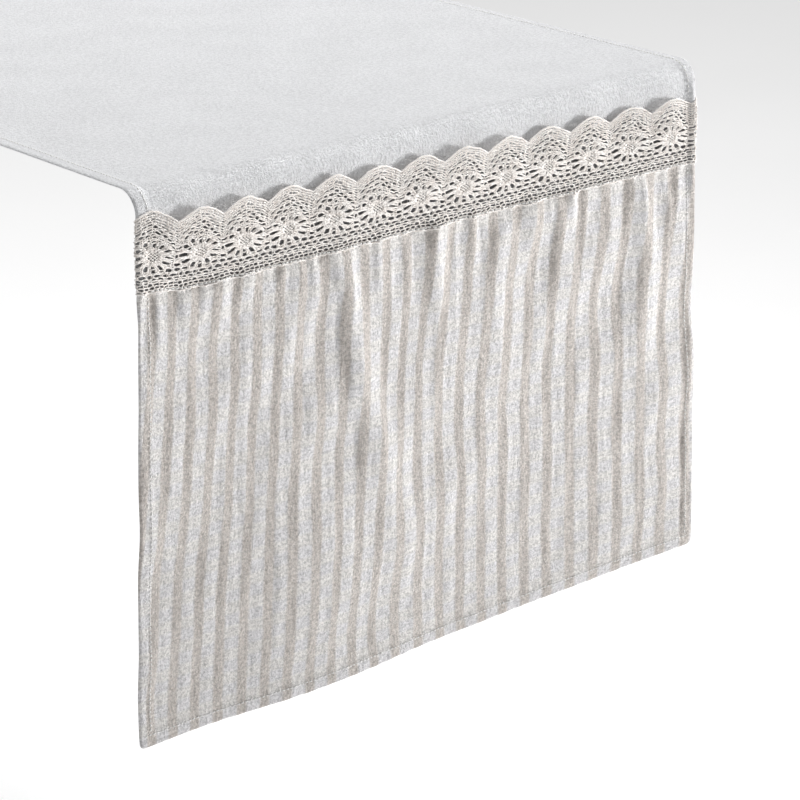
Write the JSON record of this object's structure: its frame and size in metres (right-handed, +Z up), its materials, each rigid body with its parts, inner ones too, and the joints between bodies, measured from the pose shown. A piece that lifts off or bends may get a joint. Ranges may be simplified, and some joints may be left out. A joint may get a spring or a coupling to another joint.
{
  "type": "table runner",
  "caption": "Table runner draped over a table: plain centre cloth, scalloped lace over the seams, striped hemmed end panels that hang down and lift out flat.",
  "frame": {"origin": "middle of the underside of the centre cloth, on the table-top plane", "axes": "+X across the runner, +Y along it towards its back end, +Z up; the front end hangs at -Y"},
  "size_m": [0.4, 0.8104, 0.3046],
  "materials": {
    "plain_fabric": "matte plain-weave linen and cotton, very pale cool grey",
    "striped_fabric": "matte yarn-dyed cotton, beige and white stripes with faint cross bars",
    "lace_thread": "matte cream cotton bobbin lace",
    "sewing_thread": "slightly lustrous off-white polyester thread"
  },
  "bodies": {
    "root": {"back_fold": "plain_fabric", "back_fold_hem_left": "plain_fabric", "back_fold_hem_right": "plain_fabric", "back_fold_thread_left": "sewing_thread", "back_fold_thread_right": "sewing_thread", "centre_hem_left": "plain_fabric", "centre_hem_right": "plain_fabric", "centre_panel": "plain_fabric", "centre_thread_left": "sewing_thread", "centre_thread_right": "sewing_thread", "front_fold": "plain_fabric", "front_fold_hem_left": "plain_fabric", "front_fold_hem_right": "plain_fabric", "front_fold_thread_left": "sewing_thread", "front_fold_thread_right": "sewing_thread"},
    "front_drop": {"front_end_hem": "striped_fabric", "front_end_thread": "sewing_thread", "front_lace_band": "lace_thread", "front_lace_thread": "sewing_thread", "front_plain_strip": "plain_fabric", "front_seam_allowance": "striped_fabric", "front_seam_thread": "sewing_thread", "front_side_hem_left": "striped_fabric", "front_side_hem_right": "striped_fabric", "front_side_thread_left": "sewing_thread", "front_side_thread_right": "sewing_thread", "front_striped_panel": "striped_fabric"},
    "back_drop": {"back_end_hem": "striped_fabric", "back_end_thread": "sewing_thread", "back_lace_band": "lace_thread", "back_lace_thread": "sewing_thread", "back_plain_strip": "plain_fabric", "back_seam_allowance": "striped_fabric", "back_seam_thread": "sewing_thread", "back_side_hem_left": "striped_fabric", "back_side_hem_right": "striped_fabric", "back_side_thread_left": "sewing_thread", "back_side_thread_right": "sewing_thread", "back_striped_panel": "striped_fabric"}
  },
  "joints": [
    {"name": "front_drape", "type": "hinge", "parent": "root", "child": "front_drop", "pos_m": [0, -0.40018, -0.00218], "axis": [-1, 0, 0], "range_deg": [0, 90], "deforming": ["front_fold", "front_fold_hem_left", "front_fold_hem_right", "front_fold_thread_left", "front_fold_thread_right"]},
    {"name": "back_drape", "type": "hinge", "parent": "root", "child": "back_drop", "pos_m": [0, 0.40018, -0.00218], "axis": [1, 0, 0], "range_deg": [0, 90], "deforming": ["back_fold", "back_fold_hem_left", "back_fold_hem_right", "back_fold_thread_left", "back_fold_thread_right"]}
  ]
}
